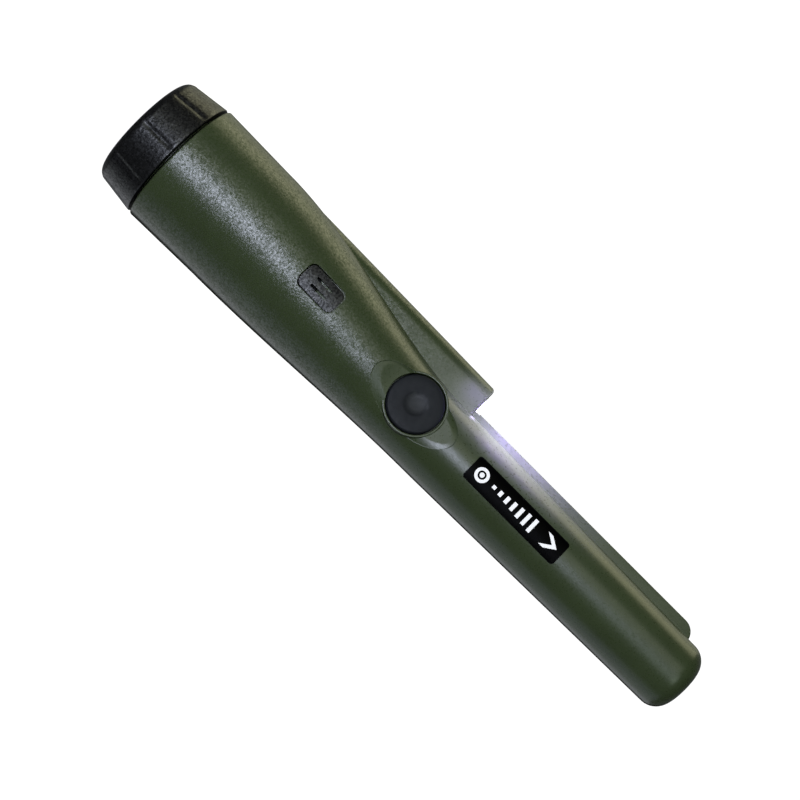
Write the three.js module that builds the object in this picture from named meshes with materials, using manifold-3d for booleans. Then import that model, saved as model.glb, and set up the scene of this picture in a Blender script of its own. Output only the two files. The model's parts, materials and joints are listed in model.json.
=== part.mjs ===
// Pinpointer probe: a hand-held metal detector probe, standing upright on its battery cap.
// Millimetres. +Z runs from the cap's flat end to the probe's tip and the power button faces -Y.
// The lamp pod and the scraper blade are on the -X side, and the slim nose is set over towards +X.
import * as THREE from "three";
import { mergeVertices } from "three/addons/utils/BufferGeometryUtils.js";
import Module from "manifold-3d";

const wasm = await Module();
wasm.setup();

// Driving dimensions of the housing
const TIP_Z = 229;
const SHOULDER_Z = 15;
const SHOULDER_R = 20.9;
const BLEND_START_Z = 40;
const BLEND_END_Z = 128;
const HANDLE_R = 20.4;
const NOSE_R = 12.8;
const NOSE_END_R = 11.2;
const NOSE_SHIFT = 4.8;
const TIP_ROUND = 6;
const TIP_DOME = 0.8;
const WALL = 2;
const GAP = 0.15;
const HOUSING_SIDES = 36;

// Neck, thread and cap
const NECK_START_Z = 3.2;
const NECK_R = 16.7;
const NECK_BORE_R = 15.4;
const THREAD_PITCH = 3;
const THREAD_TURNS = 1.6;
const THREAD_START_Z = 5.4;
const THREAD_R = 0.75;
const THREAD_CLEARANCE = 0.4;
const CAP_HEIGHT = 14;
const CAP_FOOT_R = 19.2;
const CAP_MOUTH_R = 20.6;
const CAP_BORE_R = 17.05;
const CAP_FLOOR = 2.2;
const CAP_EDGE_ROUND = 3;
const CAP_CHAMFER = 0.4;
const CAP_FLUTES = 9;
const CAP_FLUTE_DEPTH = 0.5;
const O_RING = { r: 17.7, section: 0.5, z: 14.65 };

// Lamp pod and blade
const POD_HALF_WIDTH = 4.8;
const POD_END_Z = BLEND_END_Z;
const POD_START_Z = 30;
const POD_END_X = -18.6;
const POD_SLOPE = 0.0186;
const POD_WALL = 1.6;
const POD_CORE_Z = [66, 125];
const POD_BEVEL = 1.2;
const LAMP_X = -12.3;
const LAMP_R = 2.5;
const LAMP_BASE_Z = 121;
const LAMP_TIP_Z = 129.6;
const LAMP_FLANGE_R = 2.85;
const BLADE_X = -10.2;
const BLADE_THICK = 2.2;
const BLADE_END_Z = 220;
const BLADE_ROUND = 4.5;

// Power button in its thumb scoop
const BUTTON = { x: 4, z: 113.9, r: 8.75, top: -12.5, base: -10.4 };
const DIMPLE_R = 3.45;
const WELL_R = 9.05;
const WELL_FLOOR_Y = -9.7;
const COLLAR_R = 9.8;
const COLLAR_Y = -12;
const COLLAR_BASE_Y = -8;
const SCOOP = { r: 54.2, y: -65.5, z: 117.5 };
const STEM_R = 2.2;
const STEM_HOLE_R = 2.6;
const SEAL_SEAT = { r: 3.8, y: -8.5 };

// Sounder insert and label
const INSERT = { x: 1, z: 71.5, long: 13.9, wide: 8.3, round: 2.2, floorY: -16.7 };
const SLOT = { long: 5.9, wide: 0.9, pitch: 2.8 };
const LABEL = { x: 5.2, z: 156.1, long: 36.6, wide: 8.2, round: 1, lift: 0.05, thick: 0.25 };
const SOUND_HOLE_R = 2.5;

// A plane well in front of every piece, where the cutters that come in from the front start
const FRONT_Y = -25;

// Battery and its contacts
const BATTERY = { wide: 26.5, deep: 17.5, tall: 46.4, round: 2.5, z: 4.6 };
const TERMINAL_HALF_PITCH = 6.35;
const TERMINAL_TALL = 2;
const BLOCK_Z = [54.3, 57.3];

// Circuit board and tray
const BOARD = { x: 4.4, wide: 17.6, thick: 1.6, z: [62, 144] };
const BOARD_FRONT_Y = -BOARD.thick / 2;
const TRAY = { wide: 16, y: [3, 4.6], z: [58, 145] };
const SCREW_Z = [65, 101, 140];
const SCREW_X = [11.4, 11.4, 4.4];
const SWITCH = { wide: 6, tall: 3.4, plungerR: 1.7, plungerY: [-5.3, -3.2] };

// Vibration motor, on the back of the tray
const MOTOR = { x: 3.4, y: 8.5, r: 3, z: [82, 94] };

// Search coil in the nose
const FERRITE = { r: 4, z: [155, 221] };
const BOBBIN = { bore: 4.3, r: 5.3, flange: 7.7, flangeThick: 1.5, z: [157.5, 219] };
const WINDING_R = 7.2;

// Colour, roughness and metalness of each material
const LOOKS = {
  greenPlastic: [0x3a422a, 0.55, 0],
  blackPlastic: [0x1c1d20, 0.6, 0],
  blackRubber: [0x222326, 0.8, 0],
  foam: [0x3c3d40, 0.95, 0],
  label: [0x0a0a0b, 0.35, 0],
  lens: [0xf3f3fb, 0.1, 0],
  whiteNylon: [0xd8d6cc, 0.5, 0],
  boardGreen: [0x0f5a34, 0.45, 0],
  chipBlack: [0x151518, 0.5, 0],
  tinned: [0xc4c6c8, 0.3, 1],
  steel: [0x9a9ca0, 0.35, 1],
  brass: [0xb08d4a, 0.35, 1],
  copper: [0xb06a3a, 0.4, 1],
  ferrite: [0x2b2b2d, 0.7, 0],
  jacket: [0x8a8d92, 0.4, 0.6],
  blueCase: [0x1f4fa0, 0.5, 0],
  redWire: [0xb01818, 0.5, 0],
  blackWire: [0x121212, 0.5, 0],
};

function part(name, shape, look) {
  const [color, roughness, metalness] = LOOKS[look];
  const geometry = shape.isBufferGeometry ? shape : geometryOf(shape);
  const material = new THREE.MeshStandardMaterial({ color, roughness, metalness });
  const mesh = new THREE.Mesh(geometry, material);
  mesh.name = name;
  return mesh;
}

// Closed three.js geometry to a solid that can be joined and cut, and back again.
function solid(geometry) {
  const bare = geometry.clone();
  bare.deleteAttribute("normal");
  bare.deleteAttribute("uv");
  const merged = mergeVertices(bare);
  const vertProperties = new Float32Array(merged.attributes.position.array);
  const triVerts = new Uint32Array(merged.index.array);
  return new wasm.Manifold(new wasm.Mesh({ numProp: 3, vertProperties, triVerts }));
}

function geometryOf(body) {
  const { vertProperties, triVerts } = body.getMesh();
  const geometry = new THREE.BufferGeometry();
  geometry.setAttribute("position", new THREE.BufferAttribute(vertProperties, 3));
  geometry.setIndex(new THREE.BufferAttribute(triVerts, 1));
  geometry.computeVertexNormals();
  return geometry;
}

function join(...shapes) {
  return shapes.map(solid).reduce((whole, one) => whole.add(one));
}

// A turned shape about +Z: the profile's points are [radius, height].
function turned(profile, sides = 32) {
  const points = profile.map(([r, h]) => new THREE.Vector2(r, h));
  return new THREE.LatheGeometry(points, sides).rotateX(Math.PI / 2);
}

// A turned shape about the Y axis: the profile's points are [radius, y].
function turnedAboutY(profile, sides = 32) {
  return new THREE.LatheGeometry(profile.map(([r, y]) => new THREE.Vector2(r, y)), sides);
}

function ringProfile(bore, r, low, high) {
  return [[bore, low], [r, low], [r, high], [bore, high], [bore, low]];
}

function rodProfile(r, low, high) {
  return [[0, low], [r, low], [r, high], [0, high]];
}

function block([x0, x1], [y0, y1], [z0, z1]) {
  const box = new THREE.BoxGeometry(x1 - x0, y1 - y0, z1 - z0);
  return box.translate((x0 + x1) / 2, (y0 + y1) / 2, (z0 + z1) / 2);
}

function roundedRectangle(wide, tall, r) {
  const x = wide / 2;
  const y = tall / 2;
  const outline = new THREE.Shape();
  outline.absarc(x - r, y - r, r, 0, Math.PI / 2);
  outline.absarc(r - x, y - r, r, Math.PI / 2, Math.PI);
  outline.absarc(r - x, r - y, r, Math.PI, 1.5 * Math.PI);
  outline.absarc(x - r, r - y, r, 1.5 * Math.PI, 2 * Math.PI);
  return outline;
}

function extruded(outline, depth, curveSegments = 2) {
  return new THREE.ExtrudeGeometry(outline, { depth, curveSegments, bevelEnabled: false });
}

// A rounded slab that faces -Y: its outline is wide along X and long along Z, between two values of y.
function slab({ x, z, long, wide, round }, [y0, y1], inset = 0) {
  const outline = roundedRectangle(wide - 2 * inset, long - 2 * inset, round - inset);
  return extruded(outline, y1 - y0).rotateX(Math.PI / 2).translate(x, y1, z);
}

// The housing's form: a round section whose centre and radius both change along Z.
function centreX(z) {
  return NOSE_SHIFT * THREE.MathUtils.smoothstep(z, BLEND_START_Z, BLEND_END_Z);
}

function formR(z) {
  const flare = Math.max(0, (BLEND_START_Z - z) / (BLEND_START_Z - SHOULDER_Z));
  const nose = Math.max(0, (z - BLEND_END_Z) / (TIP_Z - BLEND_END_Z));
  const blend = THREE.MathUtils.smoothstep(z, BLEND_START_Z, BLEND_END_Z);
  const tapers = (HANDLE_R - NOSE_R) * blend + (NOSE_R - NOSE_END_R) * nose;
  return HANDLE_R + (SHOULDER_R - HANDLE_R) * flare - tapers;
}

// The form's side from one height up to the rounded tip, moved out by offset.
function formSide(fromZ, offset) {
  const roundZ = TIP_Z - TIP_DOME - TIP_ROUND;
  const heights = [fromZ];
  for (let z = BLEND_START_Z; z < BLEND_END_Z; z += 9.1) heights.push(z);
  for (let z = BLEND_END_Z; z < roundZ; z += 22.8) heights.push(z);
  const side = heights.map((z) => [formR(z) + offset, z]);
  const r = TIP_ROUND + offset;
  const centreR = formR(roundZ) - TIP_ROUND;
  for (let step = 0; step <= 4; step += 1) {
    const angle = (step / 4) * 0.46 * Math.PI;
    side.push([centreR + r * Math.cos(angle), roundZ + r * Math.sin(angle)]);
  }
  side.push([0, TIP_Z + offset]);
  return side;
}

// Moves every point of a turned shape over to the form's centre line.
function alongForm(geometry) {
  const at = geometry.attributes.position;
  for (let i = 0; i < at.count; i += 1) at.setX(i, at.getX(i) + centreX(at.getZ(i)));
  return geometry;
}

function form(offset, fromZ = SHOULDER_Z) {
  const profile = [[0, fromZ], ...formSide(fromZ, offset)];
  return solid(alongForm(turned(profile, HOUSING_SIDES)));
}

class Helix extends THREE.Curve {
  constructor(radius, startZ, turns, lead) {
    super();
    Object.assign(this, { radius, startZ, turns, lead });
  }

  getPoint(t, target = new THREE.Vector3()) {
    const turn = t * this.turns - this.lead;
    const angle = 2 * Math.PI * turn;
    const x = this.radius * Math.cos(angle);
    const y = this.radius * Math.sin(angle);
    return target.set(x, y, this.startZ + turn * THREAD_PITCH);
  }
}

function sweep(curve, r, steps, sides = 8) {
  const section = new THREE.Shape();
  section.absarc(0, 0, r, 0, 2 * Math.PI);
  const options = { extrudePath: curve, steps, curveSegments: sides / 2, bevelEnabled: false };
  return new THREE.ExtrudeGeometry(section, options);
}

// The round thread: a ridge on the neck, and the wider cutter for the cap's groove.
function thread(turns, lead, r) {
  return solid(sweep(new Helix(NECK_R, THREAD_START_Z, turns, lead), r, Math.round(24 * turns), 6));
}

// The pod is a half-round rib whose crest slopes in towards its flat end.
function podForm(inset, z0, z1, bevel) {
  const half = POD_HALF_WIDTH - inset;
  const outline = new THREE.Shape();
  outline.moveTo(0, half);
  outline.lineTo(POD_END_X + inset + half, half);
  outline.absarc(POD_END_X + inset + half, 0, half, Math.PI / 2, 1.5 * Math.PI);
  outline.lineTo(0, -half);
  const rib = new THREE.ExtrudeGeometry(outline, {
    depth: z1 - z0 - 2 * bevel,
    curveSegments: 6,
    bevelEnabled: bevel > 0,
    bevelThickness: bevel,
    bevelSize: bevel,
    bevelOffset: -bevel,
    bevelSegments: 2,
  });
  rib.translate(0, 0, z0 + bevel);
  const at = rib.attributes.position;
  for (let i = 0; i < at.count; i += 1) at.setX(i, at.getX(i) - POD_SLOPE * (POD_END_Z - at.getZ(i)));
  return solid(rib);
}

function bladeForm() {
  const outline = new THREE.Shape();
  outline.moveTo(0, POD_END_Z - 6);
  outline.lineTo(0, BLADE_END_Z);
  outline.lineTo(BLADE_X + BLADE_ROUND, BLADE_END_Z);
  outline.absarc(BLADE_X + BLADE_ROUND, BLADE_END_Z - BLADE_ROUND, BLADE_ROUND, Math.PI / 2, Math.PI);
  outline.lineTo(BLADE_X, POD_END_Z - 6);
  return solid(extruded(outline, BLADE_THICK, 3).rotateX(Math.PI / 2).translate(0, BLADE_THICK / 2, 0));
}

function neckForm() {
  const neck = [
    [0, NECK_START_Z], [NECK_R - 0.3, NECK_START_Z], [NECK_R, NECK_START_Z + 0.3],
    [NECK_R, SHOULDER_Z + 3], [0, SHOULDER_Z + 3],
  ];
  return solid(turned(neck, HOUSING_SIDES));
}

// The moulding before anything is hollowed out of it.
function housingOutside() {
  const recessProfile = ringProfile(NECK_R, NECK_R + 2.2, SHOULDER_Z - 1, SHOULDER_Z + 0.4);
  return form(0)
    .subtract(solid(turned(recessProfile, HOUSING_SIDES)))
    .add(neckForm())
    .add(thread(THREAD_TURNS, 0, THREAD_R))
    .add(podForm(0, POD_START_Z, POD_END_Z, POD_BEVEL))
    .add(bladeForm());
}

function thumbScoop() {
  const cylinder = new THREE.CylinderGeometry(SCOOP.r, SCOOP.r, 60, 120);
  return solid(cylinder.rotateZ(Math.PI / 2).translate(BUTTON.x, SCOOP.y, SCOOP.z));
}

function buttonCollar() {
  const profile = [[0, COLLAR_Y], [COLLAR_R, COLLAR_Y], [COLLAR_R, COLLAR_BASE_Y], [0, COLLAR_BASE_Y]];
  return solid(turnedAboutY(profile, 28).translate(BUTTON.x, 0, BUTTON.z));
}

// The button's well, with the seat of its seal and the hole for its stem.
function buttonWell() {
  const profile = [
    [0, FRONT_Y], [WELL_R, FRONT_Y], [WELL_R, WELL_FLOOR_Y], [SEAL_SEAT.r, WELL_FLOOR_Y],
    [SEAL_SEAT.r, SEAL_SEAT.y], [STEM_HOLE_R, SEAL_SEAT.y], [STEM_HOLE_R, COLLAR_BASE_Y + 1],
    [0, COLLAR_BASE_Y + 1],
  ];
  return solid(turnedAboutY(profile, 28).translate(BUTTON.x, 0, BUTTON.z));
}

function lampHole() {
  const profile = rodProfile(LAMP_R + 0.25, LAMP_BASE_Z - 4, POD_END_Z + 9);
  return solid(turned(profile, 20).translate(LAMP_X, 0, 0));
}

function housingShell() {
  const bore = solid(turned(rodProfile(NECK_BORE_R, 0, SHOULDER_Z + 6), HOUSING_SIDES));
  const pocket = solid(slab(INSERT, [FRONT_Y, INSERT.floorY]));
  const holeProfile = rodProfile(SOUND_HOLE_R, FRONT_Y, -12);
  const soundHole = solid(turnedAboutY(holeProfile, 16).translate(INSERT.x, 0, INSERT.z));
  return housingOutside()
    .subtract(form(-WALL, SHOULDER_Z + 3))
    .subtract(bore)
    .subtract(podForm(POD_WALL, ...POD_CORE_Z, 0))
    .subtract(thumbScoop())
    .add(buttonCollar())
    .subtract(buttonWell())
    .subtract(pocket)
    .subtract(soundHole)
    .subtract(lampHole());
}

// The cap is turned, then every eighth column of points is pushed in as a finger groove.
function batteryCap() {
  const edge = [];
  for (let step = 0; step <= 3; step += 1) {
    const angle = (step / 3 - 1) * (Math.PI / 2);
    const r = CAP_FOOT_R - CAP_EDGE_ROUND + CAP_EDGE_ROUND * Math.cos(angle);
    edge.push([r, CAP_EDGE_ROUND + CAP_EDGE_ROUND * Math.sin(angle)]);
  }
  const profile = [
    [0, 0], ...edge, [CAP_MOUTH_R, CAP_HEIGHT - CAP_CHAMFER], [CAP_MOUTH_R - CAP_CHAMFER, CAP_HEIGHT],
    [CAP_BORE_R + CAP_CHAMFER, CAP_HEIGHT], [CAP_BORE_R, CAP_HEIGHT - CAP_CHAMFER],
    [CAP_BORE_R, CAP_FLOOR], [0, CAP_FLOOR],
  ];
  const body = turned(profile, 8 * CAP_FLUTES);
  const at = body.attributes.position;
  for (let i = 0; i < at.count; i += 1) {
    const point = new THREE.Vector2(at.getX(i), at.getY(i));
    const flute = (point.angle() / (2 * Math.PI)) * CAP_FLUTES;
    const onFlute = Math.abs(flute - Math.round(flute)) < 0.01;
    const onWall = point.length() > CAP_FOOT_R - 1 && at.getZ(i) > 0.5;
    if (onFlute && onWall) point.setLength(point.length() - CAP_FLUTE_DEPTH);
    at.setXY(i, point.x, point.y);
  }
  const mouthTurns = (CAP_HEIGHT + 1.5 - THREAD_START_Z) / THREAD_PITCH;
  return solid(body).subtract(thread(mouthTurns, 0.12, THREAD_R + THREAD_CLEARANCE));
}

function oRing() {
  const profile = [];
  for (let step = 0; step <= 6; step += 1) {
    const angle = (step / 6) * 2 * Math.PI;
    profile.push([O_RING.r + O_RING.section * Math.cos(angle), O_RING.section * Math.sin(angle)]);
  }
  profile[6] = profile[0];
  return turned(profile, 32).translate(0, 0, O_RING.z);
}

function capParts() {
  return [
    part("battery_cap", batteryCap(), "blackPlastic"),
    part("cap_o_ring", oRing(), "blackRubber"),
    part("cap_battery_pad", turned(rodProfile(12, CAP_FLOOR + GAP, BATTERY.z - GAP), 24), "foam"),
  ];
}

// The curved sheet of the form between two offsets, cut to a rounded outline that faces -Y.
function curvedPlate(outline, low, high, inset) {
  const cut = solid(slab(outline, [FRONT_Y, 0], inset));
  const outer = form(high, SHOULDER_Z + 5);
  const sheet = low === null ? outer : outer.subtract(form(low, SHOULDER_Z + 5));
  return sheet.intersect(cut);
}

function sounderInsert() {
  const seat = solid(block([-10, 10], [FRONT_Y, INSERT.floorY - GAP], [60, 90]));
  let insert = curvedPlate(INSERT, null, -0.1, 0.3).intersect(seat);
  for (const side of [-1, 1]) {
    const outline = { x: INSERT.x + (side * SLOT.pitch) / 2, z: INSERT.z, round: 0.4, ...SLOT };
    insert = insert.subtract(solid(slab(outline, [FRONT_Y, 0])));
  }
  return insert;
}

function housingParts() {
  return [
    part("housing_shell", housingShell(), "greenPlastic"),
    part("sounder_insert", sounderInsert(), "blackPlastic"),
    part("label_plate", curvedPlate(LABEL, LABEL.lift, LABEL.lift + LABEL.thick, 0), "label"),
  ];
}

function terminal(name, side, profile) {
  const post = part(name, turned(profile, 12), "tinned");
  post.position.set(side * TERMINAL_HALF_PITCH, 0, BATTERY.z + BATTERY.tall + 0.05);
  return post;
}

// The terminals' snap contacts hang from the contact block, just clear of the terminals.
function snapContact(name, side, r) {
  const profile = [[0, -0.8], [r, -0.8], [r, 0], [1, 0], [1, 2.6], [0, 2.6]];
  const contact = part(name, turned(profile, 12), "brass");
  contact.position.set(side * TERMINAL_HALF_PITCH, 0, BLOCK_Z[0] - 0.1);
  return contact;
}

function contactBlock() {
  const disc = solid(turned(rodProfile(NECK_BORE_R - 0.4, ...BLOCK_Z), 32));
  const holes = [-1, 1].map((side) => (
    solid(turned(rodProfile(1.25, 50, 60), 10).translate(side * TERMINAL_HALF_PITCH, 0, 0))
  ));
  return disc.subtract(holes[0]).subtract(holes[1]);
}

function batteryParts() {
  const { wide, deep, tall, round, z } = BATTERY;
  const battery = part("battery_case", extruded(roundedRectangle(wide, deep, round), tall), "jacket");
  battery.position.z = z;
  return [
    battery,
    terminal("battery_terminal_positive", 1, rodProfile(2.8, 0, TERMINAL_TALL)),
    terminal("battery_terminal_negative", -1, rodProfile(3.9, 0, TERMINAL_TALL)),
    part("contact_block", contactBlock(), "blackPlastic"),
    snapContact("contact_positive", 1, 3.6),
    snapContact("contact_negative", -1, 4.4),
  ];
}

function screwHoles(r) {
  const drills = SCREW_Z.map((z, i) => (
    solid(turnedAboutY(rodProfile(r, -2, 6), 10).translate(SCREW_X[i], 0, z))
  ));
  return drills[0].add(drills[1]).add(drills[2]);
}

function circuitBoard() {
  const halfWide = BOARD.wide / 2;
  const board = block([BOARD.x - halfWide, BOARD.x + halfWide], [BOARD_FRONT_Y, -BOARD_FRONT_Y], BOARD.z);
  return solid(board).subtract(screwHoles(1.2));
}

function boardTray() {
  const halfWide = TRAY.wide / 2;
  const sides = [BOARD.x - halfWide, BOARD.x + halfWide];
  const lips = sides.map((x) => block([x - 0.7, x + 0.7], [1.2, TRAY.y[1]], TRAY.z));
  const posts = SCREW_Z.map((z, i) => (
    turnedAboutY(rodProfile(2.4, -BOARD_FRONT_Y + GAP, TRAY.y[0] + 0.5), 14).translate(SCREW_X[i], 0, z)
  ));
  return join(block(sides, TRAY.y, TRAY.z), ...lips, ...posts).subtract(screwHoles(1.1));
}

function boardScrew(name, index) {
  const y = BOARD_FRONT_Y - GAP;
  const profile = [[0, y - 1.2], [1.7, y - 1.2], [2, y - 0.7], [2, y], [0.9, y], [0.9, 4.2], [0, 4.2]];
  const screw = part(name, turnedAboutY(profile, 12), "steel");
  screw.position.set(SCREW_X[index], 0, SCREW_Z[index]);
  return screw;
}

// A component soldered to the front of the board, standing towards -Y.
function onBoard(name, look, shape, x, z) {
  const component = part(name, shape, look);
  component.position.set(x, BOARD_FRONT_Y - GAP, z);
  return component;
}

function chip(wide, tall, high) {
  return block([-wide / 2, wide / 2], [-high, 0], [-tall / 2, tall / 2]);
}

function canCapacitor(r, high) {
  return turnedAboutY([[0, -high], [r - 0.4, -high], [r, 0.4 - high], [r, 0], [0, 0]], 16);
}

function crystalCan() {
  return extruded(roundedRectangle(4.4, 10.4, 2.2), 3.4, 5).rotateX(Math.PI / 2);
}

function regulator() {
  const outline = new THREE.Shape();
  outline.absarc(0, 0, 2.3, Math.PI / 5, 2 * Math.PI - Math.PI / 5);
  return extruded(outline, 4.6, 8).rotateX(Math.PI / 2);
}

function trimmerBody() {
  return solid(chip(6.6, 6.6, 3.6)).subtract(solid(turnedAboutY(rodProfile(2.4, -5, -2), 16)));
}

function trimmerRotor() {
  const rotor = solid(turnedAboutY(rodProfile(2.1, -3.9, -2 - GAP), 16));
  return rotor.subtract(solid(block([-1.7, 1.7], [-5, -3.2], [-0.4, 0.4])));
}

function switchBody() {
  const y = BOARD_FRONT_Y - GAP;
  const body = solid(chip(SWITCH.wide, SWITCH.wide, SWITCH.tall));
  return body.subtract(solid(turnedAboutY(rodProfile(SWITCH.plungerR + 0.25, -6, -2.3 - y), 16)));
}

function boardParts() {
  return [
    part("circuit_board", circuitBoard(), "boardGreen"),
    part("board_tray", boardTray(), "whiteNylon"),
    boardScrew("board_screw_rear", 0),
    boardScrew("board_screw_middle", 1),
    boardScrew("board_screw_front", 2),
    onBoard("microcontroller", "chipBlack", chip(7, 7, 1.4), 1.5, 90),
    onBoard("audio_driver", "chipBlack", chip(4, 5, 1.6), 7.6, 83.4),
    onBoard("voltage_regulator", "chipBlack", regulator(), 10, 90),
    onBoard("capacitor_large", "chipBlack", canCapacitor(3.15, 6.6), 2, 99),
    onBoard("capacitor_small", "blueCase", canCapacitor(2.2, 5), 6, 106),
    onBoard("crystal_can", "tinned", crystalCan(), 2.4, 127),
    onBoard("trimmer_body", "blueCase", trimmerBody(), 9.2, 134.6),
    onBoard("trimmer_rotor", "whiteNylon", trimmerRotor(), 9.2, 134.6),
    onBoard("switch_body", "chipBlack", switchBody(), BUTTON.x, BUTTON.z),
  ];
}

function powerButton() {
  const { r, top, base } = BUTTON;
  const profile = [
    [0, top + 0.6], [DIMPLE_R - 0.8, top + 0.55], [DIMPLE_R, top + 0.1], [DIMPLE_R + 0.3, top],
    [r - 0.8, top + 0.05], [r - 0.25, top + 0.25], [r, top + 0.8], [r, base],
    [STEM_R, base], [STEM_R, -7.75], [1.6, -7.75], [1.6, -6.85], [STEM_R, -6.85],
    [STEM_R, SWITCH.plungerY[0] - GAP], [0, SWITCH.plungerY[0] - GAP],
  ];
  return turnedAboutY(profile, 24);
}

function buttonParts() {
  const pieces = [
    part("power_button", powerButton(), "blackRubber"),
    part("button_seal", turnedAboutY(ringProfile(2.4, 3.6, -9.6, -8.7), 14), "blackRubber"),
    part("button_retainer", turnedAboutY(ringProfile(1.75, 3.6, -7.6, -7), 14), "steel"),
    part("switch_plunger", turnedAboutY(rodProfile(SWITCH.plungerR, ...SWITCH.plungerY), 14), "whiteNylon"),
  ];
  for (const piece of pieces) piece.position.set(BUTTON.x, 0, BUTTON.z);
  return pieces;
}

// The sounder can faces the insert, in a cup that stands on the board.
function sounderParts() {
  const { x, z } = INSERT;
  const can = turnedAboutY([[0, -13.8], [6.6, -13.8], [7, -13.4], [7, -9.7], [0, -9.7]], 24);
  const post = BOARD_FRONT_Y - GAP;
  const cup = turnedAboutY([[0, -9.5], [7.25, -9.5], [7.25, -12.4], [8.2, -12.4], [8.2, -8.5],
    [2, -8.5], [2, post], [0, post]], 20);
  const pieces = [
    part("sounder_can", can, "chipBlack"),
    part("sounder_gasket", turnedAboutY(ringProfile(3.4, 5.4, -14.5, -13.95), 14), "foam"),
    part("sounder_cup", cup, "whiteNylon"),
  ];
  for (const piece of pieces) piece.position.set(x, 0, z);
  return pieces;
}

function lampBulb() {
  const round = [];
  for (let step = 0; step <= 4; step += 1) {
    const angle = (step / 4) * (Math.PI / 2);
    round.push([LAMP_R * Math.cos(angle), LAMP_TIP_Z - LAMP_R + LAMP_R * Math.sin(angle)]);
  }
  round[4][0] = 0;
  const flange = [[LAMP_FLANGE_R, LAMP_BASE_Z], [LAMP_FLANGE_R, LAMP_BASE_Z + 1], [LAMP_R, LAMP_BASE_Z + 1]];
  return turned([[0, LAMP_BASE_Z], ...flange, ...round], 16);
}

function lampParts() {
  const base = LAMP_BASE_Z;
  const seal = turned(ringProfile(LAMP_R + 0.1, 3, base + 2.6, base + 3.7), 12);
  const pieces = [
    part("lamp_bulb", lampBulb(), "lens"),
    part("lamp_seal", seal, "blackRubber"),
    part("lamp_lead_anode", block([1.02, 1.52], [-0.25, 0.25], [base - 6, base - 0.1]), "tinned"),
    part("lamp_lead_cathode", block([-1.52, -1.02], [-0.25, 0.25], [base - 5, base - 0.1]), "tinned"),
  ];
  for (const piece of pieces) piece.position.x = LAMP_X;
  return pieces;
}

function motorCradle() {
  const { r, z } = MOTOR;
  const foot = TRAY.y[1] + GAP - MOTOR.y;
  const saddle = solid(block([-r - 1, r + 1], [foot, 0.6], [z[0] + 1, z[1] - 1]));
  return saddle.subtract(solid(turned(rodProfile(r + GAP, z[0] - 5, z[1] + 5), 18)));
}

// The eccentric weight is a half disc clamped on the motor's shaft.
function motorWeight() {
  const { z } = MOTOR;
  const outline = new THREE.Shape();
  outline.absarc(0, 0, 2.8, -0.1, Math.PI + 0.1);
  const half = solid(extruded(outline, 3.4, 12)).add(solid(turned(rodProfile(1.2, 0, 3.4), 12)));
  return half.subtract(solid(turned(rodProfile(0.65, -1, 5), 12))).translate(0, 0, z[1] + 1.6);
}

function motorParts() {
  const { r, z } = MOTOR;
  const can = [[0, z[0] + 0.6], [r, z[0] + 0.6], [r, z[1]], [1.4, z[1]], [1.4, z[1] + 0.6],
    [0.75, z[1] + 0.6], [0.75, z[0] + 4], [0, z[0] + 4]];
  const pieces = [
    part("motor_can", turned(can, 18), "steel"),
    part("motor_end_cap", turned(rodProfile(r - 0.2, z[0] - 0.6, z[0] + 0.45), 20), "whiteNylon"),
    part("motor_cradle", motorCradle(), "blackRubber"),
    part("motor_shaft", turned(rodProfile(0.5, z[0] + 4.3, z[1] + 5.4), 10), "steel"),
    part("motor_weight", motorWeight(), "steel"),
  ];
  for (const piece of pieces) piece.position.set(MOTOR.x, MOTOR.y, 0);
  return pieces;
}

function coilBobbin() {
  const { bore, r, flange, flangeThick, z } = BOBBIN;
  const [low, high] = z;
  return turned([
    [bore, low], [flange, low], [flange, low + flangeThick], [r, low + flangeThick],
    [r, high - flangeThick], [flange, high - flangeThick], [flange, high], [bore, high], [bore, low],
  ], 20);
}

function coilParts() {
  const [low, high] = BOBBIN.z;
  const inside = BOBBIN.flangeThick + GAP;
  const winding = ringProfile(BOBBIN.r + GAP, WINDING_R, low + inside, high - inside);
  const foamRing = (r, z) => turned(ringProfile(WINDING_R + GAP, r, z, z + 6), 24);
  const pieces = [
    part("ferrite_rod", turned(rodProfile(FERRITE.r, ...FERRITE.z), 24), "ferrite"),
    part("coil_bobbin", coilBobbin(), "whiteNylon"),
    part("search_coil", turned(winding, 20), "copper"),
    part("coil_foam_rear", foamRing(9.7, 161), "foam"),
    part("coil_foam_front", foamRing(8.9, 206), "foam"),
    part("nose_cushion", turned(rodProfile(6.5, FERRITE.z[1] + GAP, 225.2), 20), "foam"),
  ];
  for (const piece of pieces) piece.position.x = NOSE_SHIFT;
  return pieces;
}

// A lead inside the housing, along a smooth curve through its points.
function lead(name, look, ...points) {
  const route = new THREE.CatmullRomCurve3(points.map((point) => new THREE.Vector3(...point)));
  return part(name, sweep(route, 0.5, 12, 6), look);
}

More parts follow.
